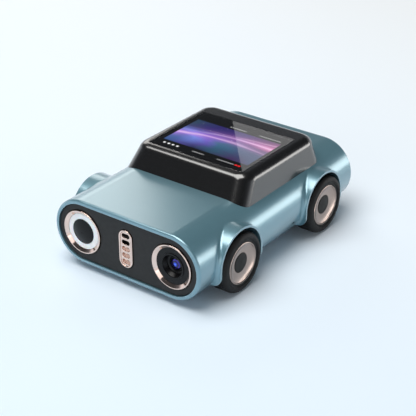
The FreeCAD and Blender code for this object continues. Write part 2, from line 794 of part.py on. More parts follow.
def mainboard():
    """A board with a few chips and a connector, on four posts with screws."""
    card = block("card", ("-board_half", "board_front", "board_z"), ("board_half", "board_rear", "board_top"))
    chips = {
        "processor": (-8, -20, 14, 14, 1.4),
        "memory": (12, -20, 9, 12, 1.1),
        "driver": (-24, 0, 7, 7, 1.2),
        "radio": (4, 2, 14, 12, 2.2),
        "connector": (-10, 6, 12, 5, 5),
    }
    solids = [card]
    for name, (x, y, wide, deep, high) in chips.items():
        solids.append(block(name, (x, y, "board_top"), (x + wide, y + deep, f"board_top + {high}")))
    spots = corners_of("post_x", "post_front", "post_rear")
    holes = [rod(f"card_hole_{i}", "screw_radius + 0.15", "4", (x, y, "board_z - 1"))
             for i, (x, y) in enumerate(spots)]
    keep(cut("card_drilled", fuse("card_loaded", *solids), *holes), "mainboard")
    posts, screws = [], []
    for i, (x, y) in enumerate(spots):
        post = rod(f"post_{i}", "post_radius", "board_z - inner_bottom", (x, y, "inner_bottom"))
        posts.append(cut(f"post_bored_{i}", post, rod(f"post_hole_{i}", "screw_radius + running_gap", "6",
                                                      (x, y, "board_z - 5"))))
        shank = rod(f"card_shank_{i}", "screw_radius", "4", (x, y, "board_top - 4"))
        head = rod(f"card_head_{i}", "screw_head", "screw_head_high", (x, y, "board_top"))
        screws.append(fuse(f"card_screw_{i}", shank, head))
    group("board_posts", posts)
    group("board_screws", screws)


def battery():
    """A flat pack that lies on the bottom cover."""
    body = new_body("battery_pack")
    outline = rounded_loop("-battery_half", "battery_front", "battery_half", "battery_rear", "2.5")
    pad(body, sketch(body, "XY_Plane", outline, offset="hatch_top"), "battery_high")


# ---------------------------------------------------------------- wheels


def tyre(node, side, y):
    """A tyre with round shoulders, a raised sidewall ring and a seat for the rim."""
    inner, outer, tread, shoulder = "tyre_inner_x", "tyre_outer_x", "wheel_radius", "tyre_shoulder"
    seat, groove = "rim_radius + 0.05", "rim_radius + 1.2"
    loop = [
        line(f"{inner} + 0.6", seat),
        line(inner, "rim_radius + 0.7"),
        arc(inner, f"{tread} - {shoulder}", f"{inner} + {shoulder}", f"{tread} - {shoulder}", False),
        line(f"{inner} + {shoulder}", tread),
        arc(f"{outer} - {shoulder}", tread, f"{outer} - {shoulder}", f"{tread} - {shoulder}", False),
        line(outer, f"{tread} - {shoulder}"),
        line(outer, f"{groove} + 0.5"),
        line(f"{outer} - 0.6", groove),
        line(f"{outer} - 0.6", seat),
    ]
    place_wheel(revolve(node, "XZ_Plane", "H_Axis", loop), side, y)


def rim(node, side, y):
    """A dished rim: barrel, rounded lip, concave face and a hub bored for the axle."""
    lip, back, bore = "rim_lip_x", "tyre_inner_x + 0.4", "axle_radius + 0.02"
    edge = f"{lip} - 0.35"
    loop = [
        line(back, "rim_radius - 0.8"),
        line(back, "rim_radius"),
        arc(edge, "rim_radius", edge, "rim_radius - 0.35", False),
        line(lip, "rim_radius - 0.35"),
        line(lip, "rim_radius - 0.7"),
        arc(edge, "dish_radius", "dish_low_x + dish_curve", "cap_radius + 0.1"),
        line("dish_low_x", "cap_radius + 0.1"),
        line("cap_seat_x", "cap_radius + 0.1"),
        line("cap_seat_x", bore),
        line(back, bore),
        line(back, "3.4"),
        line("rim_web_x", "3.4"),
        line("rim_web_x", "cap_radius"),
        line("48.1", "rim_radius - 0.8"),
    ]
    place_wheel(revolve(node, "XZ_Plane", "H_Axis", loop), side, y)


def hub_cap(node, side, y):
    """A low domed cap over the hub."""
    seat, shoulder = "cap_seat_x + 0.05", "cap_top_x - 0.8"
    loop = [
        line(seat, "0"),
        line(seat, "cap_radius"),
        arc(shoulder, "cap_radius", shoulder, "cap_radius - 0.5", False),
        line(f"{shoulder} + 0.5", "cap_radius - 0.5"),
        line("cap_top_x", "0"),
    ]
    place_wheel(revolve(node, "XZ_Plane", "H_Axis", loop), side, y)


def place_wheel(piece, side, y):
    """Sets a piece turned about X on its axle; side is 1 for +X and -1 for -X."""
    place(piece, "0", y, "wheel_radius", turn=((0, 0, 1), 0 if side > 0 else 180))


def x_rod(name, radius, low_x, high_x, y, z, side):
    """A cylinder along X between two distances from the middle, on either side of the car."""
    start = low_x if side > 0 else f"-({high_x})"
    return rod(name, radius, f"({high_x}) - ({low_x})", (start, y, z), "x")


def front_axle(hand, side):
    """A free axle, its bearing block on the well wall and the clip that holds it in."""
    y, z = "-wheel_y", "wheel_radius"
    keep(x_rod(f"front_axle_{hand}_rod", "axle_radius", "24", "46.6", y, z, side), f"front_axle_{hand}")
    low, high = ("26", "frame_outer_x") if side > 0 else ("-frame_outer_x", "-26")
    carrier = block(f"bearing_{hand}_block", (low, f"{y} - 5", "7.6"), (high, f"{y} + 5", "22.6"))
    bore = x_rod(f"bearing_{hand}_bore", "axle_radius + running_gap", "25", "36", y, z, side)
    keep(cut(f"bearing_{hand}", carrier, bore), f"front_bearing_{hand}")
    ring = x_rod(f"clip_{hand}_disc", "3", "24.8", "25.6", y, z, side)
    hole = x_rod(f"clip_{hand}_hole", "axle_radius + 0.02", "24", "26", y, z, side)
    keep(cut(f"clip_{hand}", ring, hole), f"front_axle_clip_{hand}")


# ---------------------------------------------------------------- drive train


def toothed_ring(body, teeth, low, width, aim):
    """Adds a disc and straight-flanked teeth; aim is the angle in degrees of one tooth's middle."""
    pitch = f"(tooth_module * {teeth} / 2)"
    root = f"({pitch} - 1.2 * tooth_module)"
    tip = f"({pitch} + 0.85 * tooth_module)"
    disc = sketch(body, "XY_Plane", circle("0", "0", root), offset=low)
    pad(body, disc, width)
    half_root, half_tip = "0.80 * tooth_module", "0.30 * tooth_module"
    flank = [
        line(f"{root} - 0.1", f"-({half_root})"),
        line(root, f"-({half_root})"),
        line(tip, f"-({half_tip})"),
        line(tip, half_tip),
        line(root, half_root),
        line(f"{root} - 0.1", half_root),
    ]
    tooth = pad(body, sketch(body, "XY_Plane", flank, offset=low, turn=aim), width)
    pattern = body.newObject("PartDesign::PolarPattern", body.Name + "_teeth")
    pattern.Originals = [tooth]
    pattern.Axis = (disc, ["N_Axis"])
    pattern.Angle = 360
    pattern.setExpression("Occurrences", rule(teeth))
    body.Tip = pattern
    doc.recompute()


def drill(body, radius):
    pocket(body, sketch(body, "XY_Plane", circle("0", "0", radius), offset="-1"), "12", backwards=True)


def aim_between(dy, dz):
    """The angle, in a gear's own plane, of the direction (dy, dz); its own X points down and Y along +Y."""
    return math.degrees(math.atan2(value(dy), -value(dz)))


def place_gear(body, side, low_x, width, dy, dz):
    """Sets a gear whose own +Z is along the car's +X; it starts low_x from the middle."""
    start = low_x if side > 0 else f"-({low_x}) - ({width})"
    place(body, start, f"wheel_y + {dy}", f"wheel_radius + {dz}", turn=((0, 1, 0), 90))


def gear_train(hand, side):
    """Axle gear, compound idler and motor pinion, in mesh at rest."""
    first = aim_between("idler_dy", "idler_dz")
    second = aim_between("motor_dy - idler_dy", "motor_dz - idler_dz")
    gap = 180.0 + 180.0 / value("pinion_teeth")

    axle_gear = new_body(f"axle_gear_{hand}")
    toothed_ring(axle_gear, "wheel_teeth", "0", "gear_width", first)
    drill(axle_gear, "axle_radius + 0.02")
    place_gear(axle_gear, side, "wheel_gear_x", "gear_width", "0", "0")

    idler = new_body(f"idler_gear_{hand}")
    wide, narrow, long = "gear_width", "gear_width + 1.2", "2 * gear_width + 1.2"
    big_low, small_low = ("0", wide) if side > 0 else (narrow, "0")
    toothed_ring(idler, "wheel_teeth", big_low, wide, second)
    toothed_ring(idler, "pinion_teeth", small_low, narrow, first + gap)
    drill(idler, "pin_radius + running_gap")
    place_gear(idler, side, "idler_gear_x", long, "idler_dy", "idler_dz")

    pinion = new_body(f"motor_pinion_{hand}")
    toothed_ring(pinion, "pinion_teeth", "0", "gear_width + 0.4", second + gap)
    tail = "10" if side > 0 else "0"
    pad(pinion, sketch(pinion, "XY_Plane", circle("0", "0", "pin_radius"), offset=f"{tail} * -1"),
        "gear_width + 10.4")
    place_gear(pinion, side, "idler_gear_x - 0.2", "gear_width + 0.4", "motor_dy", "motor_dz")


def drive_unit(hand, side):
    """Rear axle, gear frame, idler pin and motor."""
    axle_at = ("wheel_y", "wheel_radius")
    idler_at = ("wheel_y + idler_dy", "wheel_radius + idler_dz")
    motor_at = ("wheel_y + motor_dy", "wheel_radius + motor_dz")
    keep(x_rod(f"rear_axle_{hand}_rod", "axle_radius", "frame_inner_x + 0.2", "46.6", *axle_at, side),
         f"rear_axle_{hand}")
    inner, outer = "frame_inner_x", "frame_outer_x"
    low, high = (inner, outer) if side > 0 else (f"-{outer}", f"-{inner}")
    low_y, high_y, low_z, high_z = "18.6", "48.6", "8.4", "29"
    whole = block(f"frame_{hand}_block", (low, low_y, low_z), (high, high_y, high_z))
    gut = block(f"frame_{hand}_gut", (f"{low} + frame_wall", f"{low_y} + 1.2", f"{low_z} - 1"),
                (f"{high} - frame_wall", f"{high_y} - 1.2", f"{high_z} + 1"))
    bores = [
        x_rod(f"frame_{hand}_axle_bore", "axle_radius + running_gap", "24", "36", *axle_at, side),
        x_rod(f"frame_{hand}_pin_bore", "pin_radius", "24", "36", *idler_at, side),
        x_rod(f"frame_{hand}_motor_bore", "2", "24", "26.5", *motor_at, side),
    ]
    keep(cut(f"frame_{hand}", whole, gut, *bores), f"gear_frame_{hand}")
    keep(x_rod(f"idler_pin_{hand}_rod", "pin_radius", inner, outer, *idler_at, side), f"idler_pin_{hand}")
    can = x_rod(f"motor_{hand}_can", "motor_radius", f"{inner} - motor_length", inner, *motor_at, side)
    low_can, high_can = f"{inner} - motor_length - 1", inner
    if side < 0:
        low_can, high_can = f"-({high_can})", f"-({low_can})"
    flat = block(f"motor_{hand}_flat", (low_can, f"{motor_at[0]} - 7", f"{motor_at[1]} - 5"),
                 (high_can, f"{motor_at[0]} + 7", f"{motor_at[1]} + 5"))
    trimmed = doc.addObject("Part::Common", f"motor_{hand}_trimmed")
    trimmed.Base = can
    trimmed.Tool = flat
    hole = x_rod(f"motor_{hand}_hole", "pin_radius + running_gap", f"{inner} - 9.5", "26", *motor_at, side)
    keep(cut(f"motor_{hand}", trimmed, hole), f"drive_motor_{hand}")


# ---------------------------------------------------------------- build, check, write


def build():
    fill_sheet()
    body_shell()
    bottom_cover()
    front_panel()
    rear_panel()
    lamp()
    camera()
    grille()
    rear_fittings()
    cabin_shell()
    screen()
    mainboard()
    battery()
    for hand, side in (("right", 1), ("left", -1)):
        for end, y in (("front", "-wheel_y"), ("rear", "wheel_y")):
            tyre(f"tyre_{end}_{hand}", side, y)
            rim(f"rim_{end}_{hand}", side, y)
            hub_cap(f"hub_cap_{end}_{hand}", side, y)
        front_axle(hand, side)
        gear_train(hand, side)
        drive_unit(hand, side)
    doc.recompute()


def check():
    """Stops if any object failed or any sub-part isn't a whole valid shape."""
    failed = [f"{o.Label}: {o.State}" for o in doc.Objects if {"Invalid", "Error"} & set(o.State)]
    failed += [f"{o.Label}: bad shape" for o in nodes if o.Shape.isNull() or not o.Shape.isValid()]
    failed += [f"{o.Label}: no volume" for o in nodes if o.Shape.Volume <= 0]
    if failed:
        raise RuntimeError("; ".join(failed))


def write():
    os.makedirs("parts", exist_ok=True)
    for piece in nodes:
        piece.Shape.exportStep(f"parts/{piece.Label}.step")
    print(len(nodes), "nodes written")


build()
check()
write()
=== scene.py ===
import json
import math

import bmesh
import bpy
from mathutils import Matrix, Vector


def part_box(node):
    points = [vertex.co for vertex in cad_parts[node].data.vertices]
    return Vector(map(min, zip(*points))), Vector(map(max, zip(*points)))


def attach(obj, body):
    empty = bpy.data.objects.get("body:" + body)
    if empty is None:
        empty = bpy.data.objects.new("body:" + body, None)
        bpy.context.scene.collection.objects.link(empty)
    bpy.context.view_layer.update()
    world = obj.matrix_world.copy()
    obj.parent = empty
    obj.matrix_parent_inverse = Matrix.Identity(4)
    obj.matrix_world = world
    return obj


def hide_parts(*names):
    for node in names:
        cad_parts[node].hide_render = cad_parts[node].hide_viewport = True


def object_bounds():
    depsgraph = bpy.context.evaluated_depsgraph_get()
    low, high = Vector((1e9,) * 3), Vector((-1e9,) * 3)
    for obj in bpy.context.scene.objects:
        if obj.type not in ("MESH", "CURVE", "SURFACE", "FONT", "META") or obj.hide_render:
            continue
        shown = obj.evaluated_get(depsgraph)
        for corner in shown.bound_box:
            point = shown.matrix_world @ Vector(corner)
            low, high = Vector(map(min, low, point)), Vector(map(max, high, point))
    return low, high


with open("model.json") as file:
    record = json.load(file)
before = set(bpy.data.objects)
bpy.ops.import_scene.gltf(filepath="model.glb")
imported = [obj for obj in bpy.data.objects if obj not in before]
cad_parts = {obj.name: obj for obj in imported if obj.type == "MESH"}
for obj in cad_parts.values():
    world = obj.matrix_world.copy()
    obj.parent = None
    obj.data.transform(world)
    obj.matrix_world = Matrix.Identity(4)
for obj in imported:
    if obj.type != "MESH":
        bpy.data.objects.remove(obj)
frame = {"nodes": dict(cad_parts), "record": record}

MM = 0.001
CAD_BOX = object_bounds()

# ---------------------------------------------------------------- camera and studio

CAMERA_AZIMUTH = math.radians(36.78)
CAMERA_ELEVATION = math.radians(28.19)
CAMERA_DISTANCE = 666.6 * MM
CAMERA_LENS = 106.5
CAMERA_TARGET = Vector((-0.55, -0.41, 14.87)) * MM
FLOOR_HALF = 0.85
LIGHT_AIM = Vector((0, 0, 20)) * MM
SKY = [(0.0, (0.92, 0.96, 1.0)), (0.13, (0.86, 0.90, 0.95)), (0.30, (0.16, 0.17, 0.19)),
       (0.55, (0.05, 0.055, 0.06)), (1.0, (0.06, 0.065, 0.07))]


def towards(azimuth, elevation):
    """The unit direction from the car to a place at this azimuth and elevation."""
    flat = math.cos(elevation)
    return Vector((math.sin(azimuth) * flat, -math.cos(azimuth) * flat, math.sin(elevation)))


def camera_place():
    return CAMERA_TARGET + towards(CAMERA_AZIMUTH, CAMERA_ELEVATION) * CAMERA_DISTANCE


def add_camera():
    camera = new_object("camera", bpy.data.cameras.new("camera"))
    away = towards(CAMERA_AZIMUTH, CAMERA_ELEVATION)
    camera.location = camera_place()
    camera.rotation_euler = (-away).to_track_quat("-Z", "Y").to_euler()
    camera.data.lens = CAMERA_LENS
    camera.data.sensor_width = 36.0
    camera.data.clip_start = 0.01
    camera.data.clip_end = 20.0
    bpy.context.scene.camera = camera


def new_object(name, data):
    """A new object in the scene for a mesh, curve, light or camera."""
    thing = bpy.data.objects.new(name, data)
    bpy.context.scene.collection.objects.link(thing)
    return thing


def add_floor():
    """A wide pale floor."""
    half = FLOOR_HALF
    corners = [(-half, -half, 0), (half, -half, 0), (half, half, 0), (-half, half, 0)]
    mesh = bpy.data.meshes.new("floor")
    mesh.from_pydata(corners, [], [(0, 1, 2, 3)])
    mesh.materials.append(floor_material())
    new_object("floor", mesh)


def soft_box(name, width, height, radiance, colour=(1, 1, 1)):
    """A rectangular light of a given size in metres, not yet placed."""
    data = bpy.data.lights.new(name, "AREA")
    data.shape = "RECTANGLE"
    data.size, data.size_y = width, height
    data.energy = radiance * math.pi * width * height
    data.color = colour
    return new_object(name, data)


def add_light(name, azimuth, elevation, distance, size, radiance, colour=(1, 1, 1)):
    """A soft box that looks at the car; sizes are in millimetres, angles in degrees."""
    light = soft_box(name, size[0] * MM, size[1] * MM, radiance, colour)
    away = towards(math.radians(azimuth), math.radians(elevation))
    light.location = LIGHT_AIM + away * distance * MM
    light.rotation_euler = (-away).to_track_quat("-Z", "Y").to_euler()


def add_world():
    """A pale horizon that darkens upwards; the stops are the sines of the elevations."""
    world = bpy.data.worlds.new("studio")
    bpy.context.scene.world = world
    world.use_nodes = True
    tree = world.node_tree
    tree.nodes.clear()
    coordinate = tree.nodes.new("ShaderNodeTexCoord")
    split = tree.nodes.new("ShaderNodeSeparateXYZ")
    ramp = tree.nodes.new("ShaderNodeValToRGB")
    background = tree.nodes.new("ShaderNodeBackground")
    output = tree.nodes.new("ShaderNodeOutputWorld")
    tree.links.new(coordinate.outputs["Generated"], split.inputs[0])
    tree.links.new(split.outputs["Z"], ramp.inputs["Fac"])
    tree.links.new(ramp.outputs["Color"], background.inputs["Color"])
    tree.links.new(background.outputs[0], output.inputs["Surface"])
    stops = ramp.color_ramp.elements
    while len(stops) < len(SKY):
        stops.new(0.5)
    for stop, (position, colour) in zip(stops, SKY):
        stop.position = position
        stop.color = (*colour, 1)


def mirrored(point, reach):
    """Where the camera's ray goes after it meets the level roof at a point, a given distance on."""
    ray = (point - camera_place()).normalized()
    return point + Vector((ray.x, ray.y, -ray.z)) * reach


def light_only(light, nodes):
    """Lets a light reach these CAD nodes and nothing else."""
    receivers = bpy.data.collections.new(light.name + "_receivers")
    for node in nodes:
        receivers.objects.link(frame["nodes"][node])
    light.light_linking.receiver_collection = receivers


def add_rim_cards(radiance=3.2, size=(70, 190), gap=35, shift=62, height=2):
    """A low card on each side that the lower half of the rims mirrors; lengths are in millimetres."""
    low, high = CAD_BOX
    for hand, side in (("right", 1), ("left", -1)):
        card = soft_box(f"rim_card_{hand}", size[0] * MM, size[1] * MM, radiance, (1.0, 0.98, 0.96))
        x = side * (high.x + (gap + size[0] / 2) * MM)
        card.location = (x, (low.y + high.y) / 2 + shift * MM, height * MM)
        card.rotation_euler = (math.pi, 0, 0)
        light_only(card, [f"rim_{end}_{hand}" for end in ("front", "rear")])


def add_glass_card(reach=0.8, wide=0.5, radiance=1.0, rear_share=0.32, stretch=3):
    """A card whose edge is mirrored across the screen glass.

    The mirrored edge runs from a point along the glass's rear edge to its front right corner.
    """
    low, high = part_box("screen_glass")
    start = mirrored(Vector((low.x + rear_share * (high.x - low.x), high.y, high.z)), reach)
    end = mirrored(Vector((high.x, low.y, high.z)), reach)
    middle = (start + end) / 2
    along = (end - start).normalized()
    out = (middle - Vector((0, 0, high.z))).normalized()
    across = along.cross(out).normalized()
    if across.x < 0:
        across.negate()
    card = soft_box("glass_card", wide, stretch * (end - start).length, radiance)
    turn = Matrix((across, along, across.cross(along))).transposed().to_4x4()
    card.matrix_world = Matrix.Translation(middle + across * wide / 2) @ turn
    if (card.matrix_world.to_3x3() @ Vector((0, 0, -1))).dot(out) > 0:
        card.matrix_world = card.matrix_world @ Matrix.Rotation(math.pi, 4, "Y")
    light_only(card, ["screen_glass"])


def add_studio():
    """The world, the soft boxes, the two kinds of card, and plain colour handling."""
    add_world()
    add_light("overhead", -38, 75, 1300, (1150, 1050), 5.2, (1.0, 0.985, 0.96))
    add_light("back_right", 137, 9, 900, (560, 260), 3.2, (1.0, 0.97, 0.93))
    add_light("back_left", -124, 27, 900, (400, 330), 2.3, (1.0, 0.97, 0.93))
    add_light("front", 15, 20, 1200, (1200, 500), 1.25)
    add_glass_card()
    add_rim_cards()
    view = bpy.context.scene.view_settings
    view.view_transform = "Standard"
    view.look = "None"


# ---------------------------------------------------------------- materials


class Shader:
    """A material with one Principled shader and short ways to add nodes to it."""

    def __init__(self, name, **settings):
        self.material = bpy.data.materials.new(name)
        self.material.use_nodes = True
        self.tree = self.material.node_tree
        self.surface = self.tree.nodes["Principled BSDF"]
        for key, number in settings.items():
            self.surface.inputs[key.replace("_", " ")].default_value = number

    def add(self, kind, inputs=None, **properties):
        node = self.tree.nodes.new("ShaderNode" + kind)
        for key, setting in properties.items():
            setattr(node, key, setting)
        for key, source in (inputs or {}).items():
            if isinstance(source, bpy.types.NodeSocket):
                self.tree.links.new(source, node.inputs[key])
            else:
                node.inputs[key].default_value = source
        return node

    def link(self, source, target):
        self.tree.links.new(source, self.surface.inputs[target])

    def place(self):
        return self.add("TexCoord").outputs["Object"]

    def noise(self, scale, detail=4.0, roughness=0.55, vector=None):
        node = self.add("TexNoise", {"Vector": vector or self.place(), "Scale": scale, "Detail": detail,
                                     "Roughness": roughness})
        return node.outputs["Fac"]

    def math(self, operation, a, b=0.0, c=0.0):
        return self.add("Math", {0: a, 1: b, 2: c}, operation=operation).outputs[0]

    def remap(self, source, low, high, new_low, new_high):
        node = self.add("MapRange", {"Value": source, "From Min": low, "From Max": high,
                                     "To Min": new_low, "To Max": new_high})
        return node.outputs["Result"]

    def vary_colour(self, scale, dark, light, detail=3.0, low=0.3, high=0.7):
        """Clouds the base colour between two colours."""
        self.link(self.ramp(self.noise(scale, detail), [(low, dark), (high, light)]), "Base Color")

    def vary_roughness(self, scale, low, high, detail=3.0):
        self.link(self.remap(self.noise(scale, detail), 0.3, 0.7, low, high), "Roughness")

    def ramp(self, source, stops):
        node = self.add("ValToRGB", {"Fac": source})
        ramp = node.color_ramp
        while len(ramp.elements) < len(stops):
            ramp.elements.new(0.5)
        for element, (position, colour) in zip(ramp.elements, stops):
            element.position = position
            element.color = (*colour, 1)
        return node.outputs["Color"]

    def mix(self, factor, a, b, blend="MIX"):
        """Mixes two colours; each is a socket or three numbers."""
        node = self.add("Mix", data_type="RGBA", blend_type=blend)
        for index, source in ((0, factor), (6, a), (7, b)):
            if isinstance(source, bpy.types.NodeSocket):
                self.tree.links.new(source, node.inputs[index])
            elif index == 0:
                node.inputs[index].default_value = source
            else:
                node.inputs[index].default_value = (*source, 1)
        return node.outputs[2]

    def bump(self, height, depth):
        """Raises the surface by a height from 0 to 1, which stands for this depth in millimetres."""
        node = self.add("Bump", {"Height": height, "Distance": depth * MM, "Strength": 1.0})
        self.link(node.outputs["Normal"], "Normal")

    def worn_and_lit_edges(self, width=0.35):
        """1 on the sharp edges and 0 elsewhere, for edges that are partly worn and partly given a painted
        highlight; the width is in millimetres.
        """
        rounded = self.add("Bevel", {"Radius": width * MM}, samples=4).outputs["Normal"]
        straight = self.add("NewGeometry").outputs["Normal"]
        level = self.add("VectorMath", {0: rounded, 1: straight}, operation="DOT_PRODUCT").outputs["Value"]
        return self.remap(level, 0.90, 0.99, 1.0, 0.0)


def floor_material():
    """Paper with a painted falloff of light: pale blue and darker in front, near white behind."""
    shader = Shader("floor_paper", Roughness=0.7, Specular_IOR_Level=0.15)
    depth = shader.add("SeparateXYZ", {0: shader.place()}).outputs["Y"]
    share = shader.math("ADD", shader.remap(depth, -0.25, 0.45, 0.0, 1.0),
                        shader.math("MULTIPLY", shader.noise(3.0, 2.0), 0.04))
    # painted light: darker and bluer towards the front, lighter behind
    stops = [(0.0, (0.69, 0.825, 0.95)), (0.5, (0.79, 0.875, 0.955)), (1.0, (0.89, 0.93, 0.96))]
    shader.link(shader.ramp(share, stops), "Base Color")
    return shader.material


def shell_paint():
    """Satin steel-blue metallic paint with fine flakes, paler along the edges: partly wear, partly a
    painted highlight.
    """
    shader = Shader("shell_paint", Metallic=0.5, Roughness=0.31, Coat_Weight=1.0, Coat_Roughness=0.2,
                    Coat_IOR=1.75)
    cloud = shader.noise(22.0, 3.0)
    flake = shader.noise(3600.0, 2.0, 0.5)
    base = shader.ramp(cloud, [(0.30, (0.132, 0.276, 0.340)), (0.70, (0.146, 0.298, 0.362))])
    speckle = shader.ramp(flake, [(0.35, (0.93, 0.94, 0.95)), (0.65, (1.05, 1.05, 1.05))])
    paint = shader.mix(0.5, base, speckle, "MULTIPLY")
    # paler edges: partly paint wear, partly a painted highlight along the edges
    edge_wear_and_highlight = shader.mix(shader.math("MULTIPLY", shader.worn_and_lit_edges(), 0.5), paint, (0.62, 0.74, 0.80))
    shader.link(edge_wear_and_highlight, "Base Color")
    shader.vary_roughness(900.0, 0.28, 0.34)
    shader.bump(flake, 0.0005)
    return shader.material


def moulded(name, colour, roughness=0.55, grain=2600.0, depth=0.012, coat=0.0, specular=0.5):
    """Moulded plastic with a fine spark-eroded grain and a little dust."""
    shader = Shader(name, Roughness=roughness, Coat_Weight=coat, Coat_Roughness=0.08,
                    Specular_IOR_Level=specular)
    shader.vary_colour(70.0, colour, tuple(c * 1.35 for c in colour), low=0.35, high=0.75)
    shader.vary_roughness(400.0, roughness * 0.88, roughness * 1.12)
    shader.bump(shader.noise(grain, 3.0, 0.6), depth)
    return shader.material


def cabin_gloss():
    """Black lacquered plastic: a gloss clear coat over a satin base."""
    shader = Shader("cabin_gloss", Roughness=0.35, Coat_Weight=1.0, Coat_Roughness=0.17, Coat_IOR=1.95,
                    Specular_IOR_Level=0.15)
    shader.vary_colour(55.0, (0.0010, 0.0010, 0.0012), (0.0018, 0.0018, 0.0020))
    shader.vary_roughness(1400.0, 0.31, 0.39)
    shader.bump(shader.noise(3200.0, 2.0), 0.0006)
    return shader.material


def rose_metal():
    """Polished rose-gold with a very fine grain."""
    shader = Shader("rose_metal", Metallic=1.0, Roughness=0.09)
    shader.vary_colour(120.0, (0.76, 0.585, 0.51), (0.82, 0.64, 0.565))
    shader.vary_roughness(3000.0, 0.07, 0.12)
    shader.bump(shader.noise(2200.0, 3.0), 0.0003)
    return shader.material


def shaded_spun_metal():
    """Rose-gold spun about the wheel's axle, so its light gathers in fans; its colour is painted far darker
    than rose_metal's, as painted shade.
    """
    shader = Shader("shaded_spun_metal", Metallic=1.0, Roughness=0.2, Anisotropic=0.3)
    tangent = shader.add("Tangent", direction_type="RADIAL", axis="X")
    shader.link(tangent.outputs["Tangent"], "Tangent")
    # a much darker copy of the rose_metal colours: painted shade on the rims
    shader.vary_colour(140.0, (0.32, 0.255, 0.225), (0.36, 0.288, 0.255))
    shader.vary_roughness(1500.0, 0.17, 0.23)
    shader.bump(shader.noise(2600.0, 3.0), 0.0004)
    return shader.material


def frosted_white():
    """The lamp's light ring: milky plastic."""
    shader = Shader("frosted_white", Roughness=0.42, Subsurface_Weight=0.25, Subsurface_Scale=0.002)
    shader.vary_colour(300.0, (0.88, 0.86, 0.87), (0.92, 0.90, 0.91))
    shader.bump(shader.noise(3000.0, 2.0), 0.004)
    return shader.material


def black_lens():
    """Black glass-like plastic with a deep gloss."""
    shader = Shader("black_lens", Roughness=0.06, Specular_IOR_Level=0.22)
    shader.vary_colour(200.0, (0.003, 0.003, 0.004), (0.006, 0.006, 0.007), detail=2.0)
    shader.vary_roughness(900.0, 0.04, 0.08)
    return shader.material


def lens_with_painted_reflections():
    """Camera glass: near black with a blue and violet coating tint; the bright blue centre and the rings
    about the lens axis are painted reflections.
    """
    low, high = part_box("camera_lens")
    shader = Shader("lens_with_painted_reflections", Roughness=0.05, Coat_Weight=0.6, Coat_Roughness=0.02, Metallic=0.7)
    middle = (low + high) / 2
    offset = shader.add("VectorMath", {0: shader.place(), 1: middle}, operation="SUBTRACT").outputs[0]
    flat = shader.add("VectorMath", {0: offset, 1: (1, 0, 1)}, operation="MULTIPLY").outputs[0]
    radius = shader.add("VectorMath", {0: flat}, operation="LENGTH").outputs["Value"]
    share = shader.math("DIVIDE", radius, (high.x - low.x) / 2)
    # bright blue centre and blue and violet rings: painted reflections of the coating over a real coating
    # tint
    stops = [(0.0, (0.16, 0.40, 1.0)), (0.14, (0.03, 0.10, 0.95)), (0.30, (0.006, 0.01, 0.12)),
             (0.44, (0.003, 0.003, 0.02)), (0.56, (0.05, 0.02, 0.50)), (0.62, (0.01, 0.01, 0.10)),
             (0.72, (0.002, 0.002, 0.006))]
    shader.link(shader.ramp(share, stops), "Base Color")
    shader.vary_roughness(800.0, 0.03, 0.06, detail=2.0)
    return shader.material


def tyre_rubber():
    """Black rubber with a satin skin, moulding marks and a trace of dust."""
    shader = Shader("tyre_rubber", Roughness=0.5, Specular_IOR_Level=0.25)
    shader.vary_colour(160.0, (0.005, 0.005, 0.0055), (0.010, 0.0095, 0.009), detail=4.0, low=0.4, high=0.8)
    shader.vary_roughness(700.0, 0.46, 0.64, detail=4.0)
    shader.bump(shader.noise(1800.0, 4.0), 0.02)
    return shader.material


def screen_glass():
    """Clear cover glass, slightly smoked."""
    shader = Shader("screen_glass", Roughness=0.02, IOR=1.5, Transmission_Weight=1.0)
    shader.vary_colour(80.0, (0.90, 0.91, 0.93), (0.94, 0.95, 0.96), detail=2.0)
    return shader.material


def turned_metal(name, colour, roughness=0.3):
    """Bare metal with fine machining marks."""
    shader = Shader(name, Metallic=1.0, Roughness=roughness)
    shader.vary_colour(350.0, tuple(c * 0.85 for c in colour), colour)
    shader.vary_roughness(2500.0, roughness * 0.8, roughness * 1.2)
    shader.bump(shader.noise(2500.0, 3.0), 0.004)
    return shader.material


def solder_mask():
    """Green circuit board with faint tracks."""
    shader = Shader("solder_mask", Roughness=0.35, Coat_Weight=0.4)
    tracks = shader.add("TexVoronoi", {"Vector": shader.place(), "Scale": 420.0}, distance="MANHATTAN")
    lines = shader.remap(tracks.outputs["Distance"], 0.35, 0.42, 0.0, 1.0)
    shader.link(shader.mix(lines, (0.010, 0.070, 0.035), (0.016, 0.120, 0.060)), "Base Color")
    shader.bump(lines, 0.02)
    return shader.material


PICTURE_HALF = (27.5 * MM, 15.5 * MM)
PICTURE_Y = 11.4 * MM
STREAKS = [
    # height at the middle, slope, bow, then left and right values of half-thickness, strength and colour
    (0.12, 0.11, -0.26, 0.17, 0.07, 1.0, 0.30, (0.62, 0.28, 1.0), (0.60, 0.20, 0.55)),
    (0.42, 0.20, -0.17, 0.10, 0.13, 0.1, 1.0, (0.20, 0.20, 1.0), (0.95, 0.30, 0.62)),
    (0.56, 0.22, 0.00, 0.06, 0.08, 0.0, 0.55, (0.10, 0.05, 0.40), (0.70, 0.20, 0.50)),
]
TOP_SKY = [(0.0, (0.015, 0.055, 0.10)), (0.22, (0.012, 0.012, 0.13)), (0.60, (0.03, 0.015, 0.15)),
           (1.0, (0.10, 0.03, 0.12))]
MIDDLE_SKY = [(0.0, (0.06, 0.16, 0.45)), (0.20, (0.16, 0.30, 0.85)), (0.42, (0.16, 0.13, 0.60)),
              (0.56, (0.03, 0.16, 0.26)), (0.80, (0.04, 0.10, 0.20)), (1.0, (0.05, 0.09, 0.18))]
BOTTOM_SKY = [(0.0, (0.02, 0.10, 0.26)), (0.20, (0.05, 0.04, 0.22)), (0.40, (0.006, 0.014, 0.05)),
              (0.60, (0.02, 0.06, 0.11)), (0.76, (0.05, 0.015, 0.09)), (1.0, (0.04, 0.09, 0.18))]
WHITE = (1.0, 1.0, 1.0)
RED = (1.0, 0.02, 0.02)
